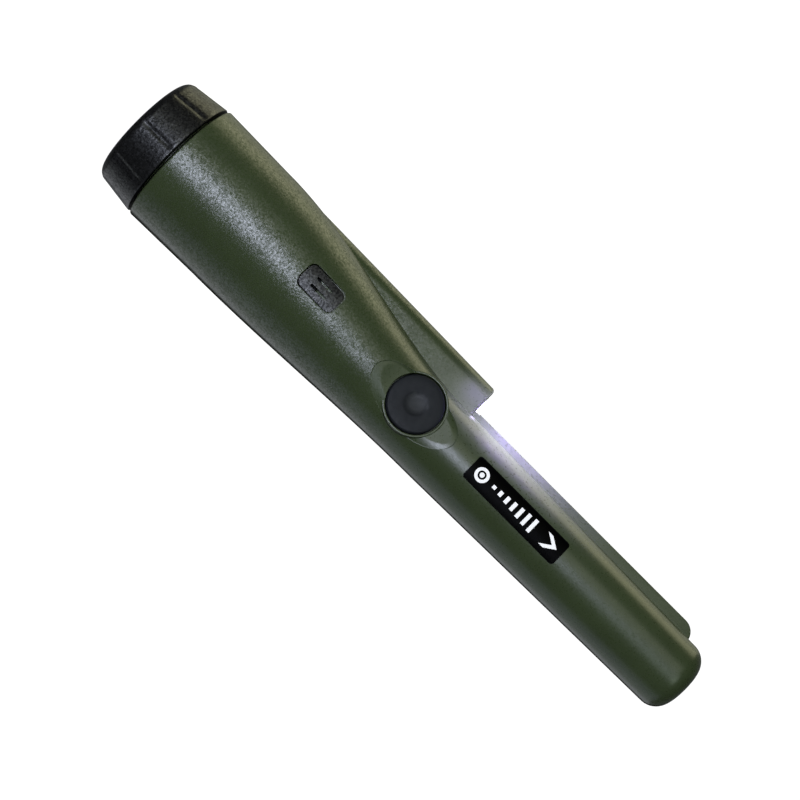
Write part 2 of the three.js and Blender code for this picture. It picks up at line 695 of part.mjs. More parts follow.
function wiring() {
  return [
    lead("battery_lead_red", "redWire",
      [6.35, -0.4, 57.6], [6.8, -2.6, 59.6], [6.9, -3, 62], [6.6, -1.6, 64]),
    lead("battery_lead_black", "blackWire",
      [-6.35, -0.4, 57.6], [-4.6, -2.6, 59.4], [-2.8, -3, 62], [-2.2, -1.6, 64]),
    lead("sounder_lead_red", "redWire",
      [9.9, -11, 72.5], [11.4, -9, 73], [12.2, -5, 74], [11.6, -1.7, 75]),
    lead("sounder_lead_black", "blackWire",
      [-8.4, -11, 72.5], [-8.3, -8, 73], [-5.6, -4.6, 74], [-2.8, -1.7, 75]),
    lead("motor_lead_red", "redWire",
      [4.6, 8.5, 80.8], [8.6, 8.6, 78.6], [13.2, 6, 77.8],
      [14.6, 1.8, 77.8], [13.8, -2, 78.4], [11.6, -1.7, 79.6]),
    lead("motor_lead_black", "blackWire",
      [2.2, 8.5, 80.8], [-1, 8.4, 77.6], [-4.6, 6, 76.6],
      [-6, 1.8, 78], [-5, -2, 79.6], [-2.6, -1.7, 80.6]),
    lead("lamp_lead_red", "redWire",
      [-11.03, 0, 114.4], [-10.6, -0.4, 110.8], [-8, -1.4, 108], [-5, -2.6, 106], [-2.6, -1.7, 105]),
    lead("lamp_lead_black", "blackWire",
      [-13.57, 0, 115.4], [-13.4, 0, 110.8], [-10.6, -0.4, 104], [-6, -2.4, 98.4], [-2.9, -1.7, 97.2]),
    lead("coil_lead_a", "copper", [1.2, -1.6, 142.4], [0.6, -3.6, 147], [0.2, -4.6, 152], [0, -4.2, 157]),
    lead("coil_lead_b", "copper", [8.6, -1.6, 142.4], [9.2, -3.6, 147], [9.6, -4.6, 152], [9.6, -4.2, 157]),
  ];
}

const probe = new THREE.Group();
probe.name = "pinpointer_probe";
probe.add(...capParts(), ...housingParts(), ...batteryParts(), ...boardParts(), ...buttonParts());
probe.add(...sounderParts(), ...lampParts(), ...motorParts(), ...coilParts(), ...wiring());

export default probe;
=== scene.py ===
"""Looks for the pinpointer probe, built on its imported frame. Metres, +Z from the cap to the tip."""

import json
import math

import bmesh
import bpy
import numpy as np
from mathutils import Matrix, Vector


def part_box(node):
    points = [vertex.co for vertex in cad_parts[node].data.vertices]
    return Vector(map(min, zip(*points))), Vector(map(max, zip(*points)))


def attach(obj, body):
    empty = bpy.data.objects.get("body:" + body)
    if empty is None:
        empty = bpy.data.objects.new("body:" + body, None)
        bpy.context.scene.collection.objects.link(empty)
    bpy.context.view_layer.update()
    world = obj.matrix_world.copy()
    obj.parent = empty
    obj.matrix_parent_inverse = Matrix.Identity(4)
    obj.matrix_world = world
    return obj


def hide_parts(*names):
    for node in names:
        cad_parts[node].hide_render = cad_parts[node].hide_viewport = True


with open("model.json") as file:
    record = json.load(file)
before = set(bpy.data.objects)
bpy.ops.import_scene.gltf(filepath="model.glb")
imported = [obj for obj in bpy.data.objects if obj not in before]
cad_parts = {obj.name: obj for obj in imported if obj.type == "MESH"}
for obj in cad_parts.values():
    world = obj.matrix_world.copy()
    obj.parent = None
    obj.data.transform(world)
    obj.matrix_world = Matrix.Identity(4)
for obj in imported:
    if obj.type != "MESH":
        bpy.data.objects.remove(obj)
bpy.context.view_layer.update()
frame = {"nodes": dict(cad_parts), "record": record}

MM = 0.001

# ---------------------------------------------------------------- driving sizes, from the frame
HOUSING_LOW, HOUSING_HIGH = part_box("housing_shell")
_, CAP_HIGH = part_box("battery_cap")
BUTTON_LOW, BUTTON_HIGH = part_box("power_button")
INSERT_LOW, INSERT_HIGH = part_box("sounder_insert")
LABEL_LOW, LABEL_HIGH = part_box("label_plate")
LAMP_LOW, LAMP_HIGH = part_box("lamp_bulb")
RING_LOW, RING_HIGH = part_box("cap_o_ring")

NECK_Z = HOUSING_LOW.z
TIP_Z = HOUSING_HIGH.z
SHOULDER_R = HOUSING_HIGH.y
CAP_TOP = CAP_HIGH.z
SEAM = 1.0 * MM
SHOULDER_Z = CAP_TOP + SEAM

# The form: a round section whose centre moves over and whose radius shrinks between two heights
BLEND_START = 40 * MM
LAMP_PROUD = 1.6 * MM
BLEND_END = LAMP_HIGH.z - LAMP_PROUD
SHOULDER_FLARE = 0.5 * MM
HANDLE_R = SHOULDER_R - SHOULDER_FLARE
NOSE_R = 12.8 * MM
NOSE_END_R = 11.2 * MM
NOSE_SHIFT = 4.8 * MM
TIP_ROUND = 6 * MM
TIP_DOME = 0.8 * MM
TIP_DETAIL_Z = 218 * MM
SHOULDER_EDGE = 0.4 * MM
WALL = 2 * MM

# Neck and its thread. The bore ends and the hollow starts this far above the shoulder
NECK_R = 16.7 * MM
NECK_BORE_R = 15.4 * MM
NECK_EDGE = 0.3 * MM
BORE_END, HOLLOW_START = 3 * MM, 6 * MM
RECESS_R = NECK_R + 2.2 * MM
RECESS_DEPTH = 0.4 * MM
THREAD_START = 5.4 * MM
THREAD_PITCH = 3 * MM
THREAD_TURNS = 1.6
THREAD_R = 0.75 * MM

# Cap
CAP_FLOOR = 2.2 * MM
CAP_BORE_R = 17.7 * MM
CAP_TAPER = 1.4 * MM
CAP_FOOT_EDGE = 3 * MM
CAP_MOUTH_EDGE = 0.4 * MM
CAP_LEAD_IN = 0.3 * MM
CAP_FLUTES = 9
CAP_FLUTE_DEPTH = 0.4 * MM
CAP_FLUTE_WIDE = 0.8 * MM
CAP_FLUTE_FOOT = 0.8 * MM
CAP_FLUTE_FADE_IN, CAP_FLUTE_FADE_OUT = 2.4 * MM, 2.2 * MM

# Pod, lamp and blade
POD_HALF = 4.8 * MM
POD_END_X = -18.6 * MM
POD_SLOPE = 0.0186
POD_START = 30 * MM
POD_EDGE = 1.2 * MM
POD_WALL = 1.6 * MM
POD_CORE_Z = 66 * MM
POD_END_WALL = 3 * MM
LAMP_X = (LAMP_LOW.x + LAMP_HIGH.x) / 2
LAMP_R = 2.5 * MM
LAMP_FLANGE = 1 * MM
LAMP_HOLE_R = LAMP_R + 0.25 * MM
LAMP_HOLE_START = LAMP_LOW.z - 4 * MM
LAMP_HOLE_END = LAMP_HIGH.z + 0.2 * MM
BLADE_HALF = 1.1 * MM
BLADE_X = -10.2 * MM
BLADE_START = BLEND_END - 6 * MM
BLADE_END = 220 * MM
BLADE_ROUND = 4.5 * MM
BLADE_EDGE = 0.35 * MM

# Thumb scoop, button and collar
BUTTON_X = (BUTTON_LOW.x + BUTTON_HIGH.x) / 2
BUTTON_Z = (BUTTON_LOW.z + BUTTON_HIGH.z) / 2
BUTTON_R = (BUTTON_HIGH.z - BUTTON_LOW.z) / 2
DIMPLE_R = 3.45 * MM
BUTTON_EDGE = 0.8 * MM
BUTTON_EDGE_DROP = 0.15 * MM
BUTTON_BASE = -10.4 * MM
STEM_R = 2.2 * MM
STEM_END = -5.45 * MM
CLIP_GROOVE_R = 1.6 * MM
CLIP_GROOVE_START, CLIP_GROOVE_END = -7.75 * MM, -6.85 * MM
WELL_R = BUTTON_R + 0.3 * MM
WELL_FLOOR = -9.7 * MM
SEAL_SEAT_R = 3.8 * MM
SEAL_SEAT = -8.5 * MM
STEM_HOLE_R = 2.6 * MM
COLLAR_R = WELL_R + 0.75 * MM
COLLAR_EDGE = 0.25 * MM
COLLAR_TOP = -12.0 * MM
COLLAR_BASE = -8.0 * MM
SCOOP_R = 54.2 * MM
SCOOP_Y = -65.5 * MM
SCOOP_Z = 117.5 * MM
SCOOP_REACH = 24 * MM
SCOOP_LEFT, SCOOP_RIGHT = -16 * MM, 22 * MM
SCOOP_CENTRE_Y = -18 * MM
PAD_X, PAD_Z = 4.8 * MM, 113.8 * MM
PAD_HALF_WIDE, PAD_HALF_LONG = 8.1 * MM, 16.0 * MM
PAD_STEP = 0.25 * MM
PAD_BOWL = 0.7 * MM

# The button's top, as (share of a radius, depth in mm): its dimple, then its nearly flat crown
DIMPLE = ((0, 0.55), (0.45, 0.53), (0.72, 0.42), (0.88, 0.24), (1.0, 0.09), (1.1, 0.02), (1.2, 0))
CROWN = ((0.7, 0.02), (0.82, 0.07))

# Sounder cover and label
INSERT_X = (INSERT_LOW.x + INSERT_HIGH.x) / 2
INSERT_Z = (INSERT_LOW.z + INSERT_HIGH.z) / 2
INSERT_GAP = 0.42 * MM
INSERT_FLOOR = INSERT_HIGH.y + 0.6 * MM
INSERT_SINK = 0.1 * MM
INSERT_CORNER, POCKET_CORNER = 1.9 * MM, 2.2 * MM
SLOT_LONG, SLOT_WIDE, SLOT_PITCH = 5.9 * MM, 0.9 * MM, 2.8 * MM
SLOT_CORNER = 0.4 * MM
LABEL_X = (LABEL_LOW.x + LABEL_HIGH.x) / 2
LABEL_Z = (LABEL_LOW.z + LABEL_HIGH.z) / 2
LABEL_CORNER = 1.0 * MM
LABEL_LIFT = (0.05 * MM, 0.30 * MM)
PRINT_LIFT = (LABEL_LIFT[1] - 0.03 * MM, LABEL_LIFT[1] + 0.02 * MM)

# The label's emblem. Places along it are measured from the label's middle; bars and chevron are in mm
TARGET_ALONG = -14.2 * MM
TARGET_RINGS = ((0.05 * MM, 0.75 * MM), (1.35 * MM, 2.3 * MM))
BAR_COUNT = 7
BAR_START, BAR_PITCH, BAR_THICK = -9.8, 2.6, 1.2
BAR_FIRST_HALF, BAR_GROWTH = 0.55, 1.75
CHEVRON_POINT, CHEVRON_HALF, CHEVRON_SWEEP, CHEVRON_THICK = 16.2, 2.3, 3.4, 1.9

# Where cutters that come from the front start, and the y that each kind reaches to
FRONT = -25 * MM
INSERT_CUT = -10 * MM
LABEL_CUT = -5 * MM
PAD_CUT = -2 * MM

# Camera: level with the probe, turned a little about it and rolled over. Distances in metres, lens in mm
CAMERA_AZIMUTH = math.radians(13.0)
CAMERA_DISTANCE = 0.62
CAMERA_ROLL = math.radians(45.0)
AIM_ALONG = 109.9 * MM
AIM_ASIDE = 3.6 * MM
FOCAL = 94.8
SENSOR = 36

# Lights: sizes and distances in metres. The world is white as the backdrop and dim as a room
SIDE_LIGHT = (0.45, 0.9)
SIDE_DISTANCE = 0.9
BACKDROP = 1.1
ROOM_COLOUR = (0.94, 0.98, 1.0, 1)
ROOM_BEHIND, ROOM_FRONT = 0.16, 0.026
ROOM_FADE = (-0.9, -0.2)
FLOOR_HALF = 3.0
FLOOR_DROP = 0.05 * MM
FLOOR_GLOW = 1.05

# The lamp's glow: strips beside the blade, each with its start in mm past the pod's end and its watts
GLOW_STRIPS = ((-7, 0.0032), (2, 0.0235), (15, 0.013), (27, 0.0036), (39, 0.001))
GLOW_WIDE, GLOW_LONG = 5 * MM, 14 * MM
GLOW_SOURCE = Vector((-14 * MM, -10 * MM, 0))
GLOW_TARGET = Vector((-7.5 * MM, -2 * MM, 0))
GLOW_COLOUR = (0.47, 0.35, 1.0)

# Materials: base colours, grain sizes, and how strongly the highlights sparkle
OLIVE = (0.058, 0.080, 0.031)
CAP_COLOUR, CAP_GRAIN, CAP_RELIEF = (0.007, 0.007, 0.007), 0.7 * MM, 0.08 * MM
INSERT_COLOUR, INSERT_GRAIN, INSERT_RELIEF = (0.005, 0.005, 0.006), 0.5 * MM, 0.04 * MM
BUTTON_COLOUR = (0.013, 0.015, 0.018)
SEAL_COLOUR = (0.002, 0.002, 0.002)
FILM_COLOUR = (0.0005, 0.0005, 0.0006)
INK_COLOUR = (0.9, 0.9, 0.92)
# How strongly the print glows: painted light
INK_GLOW = 0.45
LENS_COLOUR, LENS_GLOW = (0.9, 0.9, 0.97), (0.9, 0.89, 1.0, 1)
LENS_STRENGTH = (2.6, 3.4)
METAL_CLASSES = ("brushed_steel", "brass", "aluminium")
NOISE_SPAN = (0.3, 0.7)
GRAIN_FADE = (90 * MM, 125 * MM)
SMOOTH_GRAIN = 0.12
PAD_GRAIN_EDGE = (0.97, 1.01)
PAD_GRAIN_Y = (-6 * MM, -4 * MM)
SPARK_SIZE = 0.45 * MM
SPARK_SHEEN = 0.85
# The painted shade at the very edge away from the pod: where it starts, which side, how strong and how
# dark
RIM_FACING = (0.69, 0.79)
RIM_NORMAL = (0.4, 0.6)
RIM_STRENGTH = 0.9
RIM_SHADE = 0.3


# ---------------------------------------------------------------- camera, stage and light
def towards(turn):
    """A level direction, turned from the camera's towards the pod's side by this many degrees."""
    azimuth = CAMERA_AZIMUTH - math.radians(turn)
    return Vector((math.sin(azimuth), -math.cos(azimuth), 0))


def link(thing):
    """Puts an object in the scene and hands it back."""
    bpy.context.scene.collection.objects.link(thing)
    return thing


def make_camera():
    """The photo's view: the probe lies across the picture, with its cap at the upper left."""
    back, aside, up = towards(0), towards(90), Vector((0, 0, 1))
    right = up * math.cos(CAMERA_ROLL) + aside * math.sin(CAMERA_ROLL)
    top = aside * math.cos(CAMERA_ROLL) - up * math.sin(CAMERA_ROLL)
    aim = up * AIM_ALONG - aside * AIM_ASIDE
    camera = link(bpy.data.objects.new("camera", bpy.data.cameras.new("camera")))
    camera.data.lens = FOCAL
    camera.data.sensor_width = SENSOR
    camera.data.clip_start = 10 * MM
    axes = Matrix((right, top, back)).transposed().to_4x4()
    camera.matrix_world = Matrix.Translation(aim + back * CAMERA_DISTANCE) @ axes
    bpy.context.scene.camera = camera


def softbox(name, turn, distance, size, radiance, colour, height=AIM_ALONG, aim=AIM_ALONG):
    """A light of this (width, height) and brightness, turned about Z by degrees towards the pod's side."""
    data = bpy.data.lights.new(name, "AREA")
    data.shape = "RECTANGLE"
    data.size, data.size_y = size
    data.energy = radiance * math.pi * size[0] * size[1]
    data.color = colour
    light = link(bpy.data.objects.new(name, data))
    light.location = towards(turn) * distance + Vector((0, 0, height))
    light.rotation_euler = (Vector((0, 0, aim)) - light.location).to_track_quat("-Z", "Y").to_euler()
    light.visible_camera = False


def make_lights():
    """A hard key down the handle's crown, weak fill from the front, and a rim light each side."""
    softbox("key", 5, 0.66, (0.24, 0.37), 7.7, (0.78, 0.83, 1.0), height=12 * MM, aim=50 * MM)
    softbox("fill", 30, SIDE_DISTANCE, SIDE_LIGHT, 0.68, (0.95, 1.0, 0.8))
    softbox("low_fill", 0, 0.6, (0.3, 0.3), 1.25, (0.85, 1.0, 0.85), height=500 * MM, aim=160 * MM)
    softbox("warm_side", 111, SIDE_DISTANCE, SIDE_LIGHT, 1.4, (1.0, 0.97, 0.62))
    softbox("warm_back", 140, SIDE_DISTANCE, SIDE_LIGHT, 0.49, (1.0, 1.0, 0.7))
    softbox("cool_front", -90, SIDE_DISTANCE, SIDE_LIGHT, 0.36, (0.76, 0.84, 1.0), height=300 * MM)
    softbox("cool_side", -115, SIDE_DISTANCE, SIDE_LIGHT, 0.41, (0.9, 0.98, 1.0))
    softbox("cool_back", -140, SIDE_DISTANCE, SIDE_LIGHT, 0.52, (0.9, 0.92, 1.0))
    bpy.context.scene.view_settings.view_transform = "Standard"


def make_world():
    """White behind the probe, and a dim room that is brighter on the side away from the camera."""
    world = bpy.data.worlds.new("studio")
    bpy.context.scene.world = world
    world.use_nodes = True
    tree = world.node_tree
    tree.nodes.clear()
    out = tree.nodes.new("ShaderNodeOutputWorld")
    seen = tree.nodes.new("ShaderNodeBackground")
    seen.inputs["Color"].default_value = (1, 1, 1, 1)
    seen.inputs["Strength"].default_value = BACKDROP
    room = tree.nodes.new("ShaderNodeBackground")
    room.inputs["Color"].default_value = ROOM_COLOUR
    direction = tree.nodes.new("ShaderNodeTexCoord")
    facing = tree.nodes.new("ShaderNodeVectorMath")
    facing.operation = "DOT_PRODUCT"
    facing.inputs[1].default_value = towards(0)
    shade = tree.nodes.new("ShaderNodeMapRange")
    shade.inputs["From Min"].default_value = ROOM_FADE[0]
    shade.inputs["From Max"].default_value = ROOM_FADE[1]
    shade.inputs["To Min"].default_value = ROOM_BEHIND
    shade.inputs["To Max"].default_value = ROOM_FRONT
    path = tree.nodes.new("ShaderNodeLightPath")
    mix = tree.nodes.new("ShaderNodeMixShader")
    tree.links.new(direction.outputs["Generated"], facing.inputs[0])
    tree.links.new(facing.outputs["Value"], shade.inputs["Value"])
    tree.links.new(shade.outputs["Result"], room.inputs["Strength"])
    tree.links.new(path.outputs["Is Camera Ray"], mix.inputs[0])
    tree.links.new(room.outputs[0], mix.inputs[1])
    tree.links.new(seen.outputs[0], mix.inputs[2])
    tree.links.new(mix.outputs[0], out.inputs["Surface"])


def make_stage():
    """A pale floor, over-lit to white as the backdrop is, that casts no light on the probe."""
    half = FLOOR_HALF
    mesh = bpy.data.meshes.new("floor")
    corners = [(-half, -half, 0), (half, -half, 0), (half, half, 0), (-half, half, 0)]
    mesh.from_pydata(corners, [], [(0, 1, 2, 3)])
    floor = link(bpy.data.objects.new("floor", mesh))
    floor.location.z = -FLOOR_DROP
    floor.visible_diffuse = False
    floor.visible_glossy = False
    floor.visible_shadow = False
    mat = bpy.data.materials.new("pale_floor")
    mat.use_nodes = True
    shader = mat.node_tree.nodes["Principled BSDF"]
    shader.inputs["Base Color"].default_value = (0.8, 0.8, 0.8, 1)
    shader.inputs["Roughness"].default_value = 0.9
    shader.inputs["Emission Color"].default_value = (1, 1, 1, 1)
    shader.inputs["Emission Strength"].default_value = FLOOR_GLOW
    mesh.materials.append(mat)


def lamp_glow():
    """The lamp's light on the blade and the probe's flank: strips that fade along its beam."""
    aim = (GLOW_TARGET - GLOW_SOURCE).to_track_quat("-Z", "Y").to_euler()
    for step, (start, energy) in enumerate(GLOW_STRIPS):
        data = bpy.data.lights.new(f"lamp_glow_{step}", "AREA")
        data.shape = "RECTANGLE"
        data.size, data.size_y = GLOW_WIDE, GLOW_LONG
        data.energy = energy
        data.color = GLOW_COLOUR
        light = link(bpy.data.objects.new(f"lamp_glow_{step}", data))
        light.location = GLOW_SOURCE + Vector((0, 0, BLEND_END + start * MM + GLOW_LONG / 2))
        light.rotation_euler = aim
        light.visible_camera = False
        light.visible_glossy = False
        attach(light, "housing")


# ---------------------------------------------------------------- mesh helpers
def outward(piece):
    """Turns every face of a closed piece outwards."""
    bm = bmesh.new()
    bm.from_mesh(piece.data)
    bmesh.ops.recalc_face_normals(bm, faces=bm.faces)
    bm.to_mesh(piece.data)
    bm.free()


def smooth(piece, degrees):
    """Smooth faces, with every edge sharper than this left crisp."""
    bm = bmesh.new()
    bm.from_mesh(piece.data)
    limit = math.radians(degrees)
    for face in bm.faces:
        face.smooth = True
    for edge in bm.edges:
        edge.smooth = len(edge.link_faces) == 2 and edge.calc_face_angle() < limit
    bm.to_mesh(piece.data)
    bm.free()
    return piece


def skin(name, rings, closed=False):
    """A closed surface through rings of points. One point is a pole, and closed joins last to first."""
    points, starts = [], []
    for ring in rings:
        starts.append(len(points))
        points.extend(tuple(map(float, point)) for point in ring)
    pairs = list(zip(range(len(rings) - 1), range(1, len(rings))))
    if closed:
        pairs.append((len(rings) - 1, 0))
    faces = []
    for low, high in pairs:
        a, b = starts[low], starts[high]
        count = max(len(rings[low]), len(rings[high]))
        for i in range(count):
            j = (i + 1) % count
            if len(rings[low]) == 1:
                faces.append((a, b + j, b + i))
            elif len(rings[high]) == 1:
                faces.append((a + i, a + j, b))
            else:
                faces.append((a + i, a + j, b + j, b + i))
    mesh = bpy.data.meshes.new(name)
    mesh.from_pydata(points, [], faces)
    piece = link(bpy.data.objects.new(name, mesh))
    outward(piece)
    return piece


def turned(name, profile, centre, axis="Z", sides=96):
    """A turned piece through (radius, height) points, from pole to pole or round a closed loop."""
    loop = profile[0] == profile[-1]
    angles = np.linspace(0, 2 * math.pi, sides, endpoint=False)
    rings = []
    for r, h in profile[:-1] if loop else profile:
        ring = [(0, 0, h)] if r < 1e-9 else [(r * math.cos(a), r * math.sin(a), h) for a in angles]
        if axis == "Y":
            ring = [(x, z, -y) for x, y, z in ring]
        rings.append([(x + centre[0], y + centre[1], z + centre[2]) for x, y, z in ring])
    return skin(name, rings, closed=loop)


def arc(centre_r, centre_h, r, start, end, steps):
    """Profile points along an arc, in degrees."""
    angles = np.radians(np.linspace(start, end, steps + 1))
    return [(float(centre_r + r * math.cos(a)), float(centre_h + r * math.sin(a))) for a in angles]


def spaced(start, end, step):
    """Even values from start to end, about this far apart."""
    return np.linspace(start, end, max(2, round((end - start) / step) + 1))


def combine(piece, tool, mode):
    """Joins, cuts or crops with a closed tool, and removes the tool."""
    modifier = piece.modifiers.new("combine", "BOOLEAN")
    modifier.operation = mode
    modifier.object = tool
    modifier.solver = "MANIFOLD"
    bpy.context.view_layer.update()
    graph = bpy.context.evaluated_depsgraph_get()
    mesh = bpy.data.meshes.new_from_object(piece.evaluated_get(graph), depsgraph=graph)
    piece.modifiers.clear()
    piece.data = mesh
    bpy.data.objects.remove(tool)


def rounded_outline(wide, long, r, steps=8):
    """Points round a rectangle with rounded corners, as (across, along)."""
    points = []
    for side, end, start in ((1, 1, 0), (-1, 1, 90), (-1, -1, 180), (1, -1, 270)):
        for a in np.radians(np.linspace(start, start + 90, steps + 1)):
            across = side * (wide / 2 - r) + r * math.cos(a)
            points.append((across, end * (long / 2 - r) + r * math.sin(a)))
    return points


def prism(name, outline, x, z, y0, y1):
    """An outline that faces -Y, between two values of y."""
    rings = [[(x + u, y, z + v) for u, v in outline] for y in (y0, y1)]
    return skin(name, [[(x, y0, z)], *rings, [(x, y1, z)]])


# ---------------------------------------------------------------- the form
def smoothstep(t):
    """Eases from 0 to 1."""
    t = np.clip(t, 0, 1)
    return t * t * (3 - 2 * t)


def centre_x(z):
    """How far the round section has moved over at this height."""
    return NOSE_SHIFT * smoothstep((z - BLEND_START) / (BLEND_END - BLEND_START))


def form_r(z):
    """The round section's radius at this height."""
    flare = np.maximum(0, (BLEND_START - z) / (BLEND_START - SHOULDER_Z))
    nose = np.maximum(0, (z - BLEND_END) / (TIP_Z - BLEND_END))
    blend = smoothstep((z - BLEND_START) / (BLEND_END - BLEND_START))
    flare_r = (SHOULDER_R - HANDLE_R) * np.minimum(flare, 1)
    return HANDLE_R + flare_r - (HANDLE_R - NOSE_R) * blend - (NOSE_R - NOSE_END_R) * nose


def form_y(x, z, lift=0.0):
    """The front of the form at one place, lifted off it."""
    return -np.sqrt((form_r(z) + lift) ** 2 - (x - centre_x(z)) ** 2)


def thread_height(angle, z):
    """The round ridge of the neck's right-hand thread, at each angle."""
    turn = (angle / (2 * math.pi)) % 1
    height = np.zeros_like(angle)
    for lap in range(3):
        along = turn + lap
        near = z - (THREAD_START + along * THREAD_PITCH)
        ridge = np.sqrt(np.maximum(THREAD_R ** 2 - near ** 2, 0))
        height = np.maximum(height, np.where(along <= THREAD_TURNS, ridge, 0))
    return height


def round_housing():
    """The turned part of the housing: neck, shoulder, handle, probe and tip, with its inside wall."""
    angle = np.radians(np.arange(0, 360, 2.5))
    rings = []

    def add(z, r):
        x = centre_x(z) + r * np.cos(angle)
        rings.append(np.stack([x, r * np.sin(angle), np.full_like(x, z)], axis=1))

    add(NECK_Z, NECK_R - NECK_EDGE)
    for z in spaced(NECK_Z + NECK_EDGE, SHOULDER_Z - SHOULDER_EDGE, 0.15 * MM):
        add(z, NECK_R + thread_height(angle, z))
    add(SHOULDER_Z + RECESS_DEPTH, NECK_R)
    add(SHOULDER_Z + RECESS_DEPTH, RECESS_R)
    add(SHOULDER_Z, RECESS_R)
    edge = SHOULDER_EDGE
    for r, h in arc(SHOULDER_R - edge, SHOULDER_Z + edge, edge, -90, 0, 6):
        add(h, r)
    for z in spaced(SHOULDER_Z + 3 * edge, TIP_DETAIL_Z, 1.5 * MM):
        add(z, form_r(z))
    round_z = TIP_Z - TIP_DOME - TIP_ROUND
    fine = 0.8 * MM
    for z in spaced(TIP_DETAIL_Z + fine, round_z, fine):
        add(z, form_r(z))
    tip_r = form_r(round_z) - TIP_ROUND
    for r, h in arc(tip_r, round_z, TIP_ROUND, 7, 83, 12):
        add(h, r)
    for share in (0.97, 0.75, 0.5, 0.25):
        add(TIP_Z - TIP_DOME * share ** 2, tip_r * share)
    outer, rings = rings, []
    add(NECK_Z, NECK_BORE_R)
    add(SHOULDER_Z + BORE_END, NECK_BORE_R)
    for z in spaced(SHOULDER_Z + HOLLOW_START, round_z, 6 * MM):
        add(z, form_r(z) - WALL)
    add(TIP_Z - WALL - TIP_DOME, tip_r)
    poles = [[(centre_x(TIP_Z), 0, z)] for z in (TIP_Z - WALL, TIP_Z)]
    return skin("housing", [poles[0], *rings[::-1], *outer, poles[1]])


def pod(name, inset, z0, z1, edge):
    """A half-round rib whose crest slopes in towards its end, with that end's edge rounded."""
    rings = []
    sections = [(z, 0.0) for z in spaced(z0, z1 - edge, 3 * MM)]
    if edge > 0:
        sections += [(h, edge - r) for r, h in arc(0, z1 - edge, edge, 0, 90, 7)[1:]]
    for z, rounding in sections:
        half = POD_HALF - inset - rounding
        middle = POD_END_X - POD_SLOPE * (BLEND_END - z) + inset + POD_HALF - inset
        outline = [(x, half) for x in np.linspace(0, middle, 12)]
        outline += arc(middle, 0, half, 90, 270, 32)[1:-1]
        outline += [(x, -half) for x in np.linspace(middle, 0, 12)]
        rings.append([(x, y, z) for x, y in outline])
    ends = [[(POD_END_X / 2, 0, z)] for z in (z0, z1)]
    return skin(name, [ends[0], *rings, ends[1]])


def blade():
    """The scraper: a thin plate down the probe's side, with a round corner and eased edges."""
    rings = []
    for easing, y in arc(BLADE_EDGE, BLADE_HALF - BLADE_EDGE, BLADE_EDGE, 90, 180, 4):
        end_z, side_x, r = BLADE_END - easing, BLADE_X + easing, BLADE_ROUND - easing
        outline = [(0, z) for z in np.linspace(BLADE_START, end_z, 24)]
        outline += arc(side_x + r, end_z - r, r, 90, 180, 14)
        outline += [(side_x, z) for z in np.linspace(end_z - r, BLADE_START, 24)[1:]]
        rings.append((y, outline))
    rings = rings + [(-y, outline) for y, outline in rings[::-1]]
    centre = (BLADE_X / 2, (BLEND_END + BLADE_END) / 2)
    levels = [[(x, y, z) for x, z in outline] for y, outline in rings]
    ends = [[(centre[0], y, centre[1])] for y in (BLADE_HALF, -BLADE_HALF)]
    return skin("blade", [ends[0], *levels, ends[1]])


def thumb_scoop():
    """Cutter for the shallow hollow round the button: a cylinder that lies across the probe."""
    along = spaced(-SCOOP_REACH, SCOOP_REACH, 0.75 * MM)
    section = [(SCOOP_Y + math.sqrt(SCOOP_R ** 2 - dz ** 2), SCOOP_Z + dz) for dz in along]
    section += [(FRONT, SCOOP_Z + SCOOP_REACH), (FRONT, SCOOP_Z - SCOOP_REACH)]
    across = spaced(SCOOP_LEFT, SCOOP_RIGHT, 1 * MM)
    rings = [[(x, y, z) for y, z in section] for x in across]
    ends = [[(x, SCOOP_CENTRE_Y, SCOOP_Z)] for x in (across[0], across[-1])]
    return skin("scoop", [ends[0], *rings, ends[1]])


def scoop_step():
    """Cutter for the oval inside the thumb scoop: a small step at its edge and a shallow bowl within."""
    angles = np.radians(np.arange(0, 360, 3))
    oval = [(PAD_HALF_WIDE * math.cos(a), PAD_HALF_LONG * math.sin(a)) for a in angles]
    spare = 1 * MM
    box_x = (PAD_X - (PAD_HALF_WIDE + spare), PAD_X + (PAD_HALF_WIDE + spare))
    box_z = (PAD_Z - (PAD_HALF_LONG + spare), PAD_Z + (PAD_HALF_LONG + spare))

    def floor(x, z):
        share = ((x - PAD_X) / PAD_HALF_WIDE) ** 2 + ((z - PAD_Z) / PAD_HALF_LONG) ** 2
        return form_y(x, z, -PAD_STEP - PAD_BOWL * max(0, 1 - share))

    layer = front_sheet("scoop_step", box_x, box_z, spare, floor)
    combine(layer, prism("oval", oval, PAD_X, PAD_Z, FRONT, PAD_CUT), "INTERSECT")
    return layer


def button_collar():
    """The collar and well that the button sits in, with the seat of its seal and its stem hole."""
    edge = COLLAR_EDGE
    top, floor, seat, base = -COLLAR_TOP, -WELL_FLOOR, -SEAL_SEAT, -COLLAR_BASE
    profile = [(COLLAR_R, base)] + arc(COLLAR_R - edge, top - edge, edge, 0, 90, 5)
    profile += arc(WELL_R + edge, top - edge, edge, 90, 180, 5)
    profile += [(WELL_R, floor), (SEAL_SEAT_R, floor), (SEAL_SEAT_R, seat), (STEM_HOLE_R, seat),
                (STEM_HOLE_R, base), (COLLAR_R, base)]
    centre = (BUTTON_X, 0, BUTTON_Z)
    return turned("collar", [(r, -h) for r, h in profile], centre, axis="Y", sides=160)


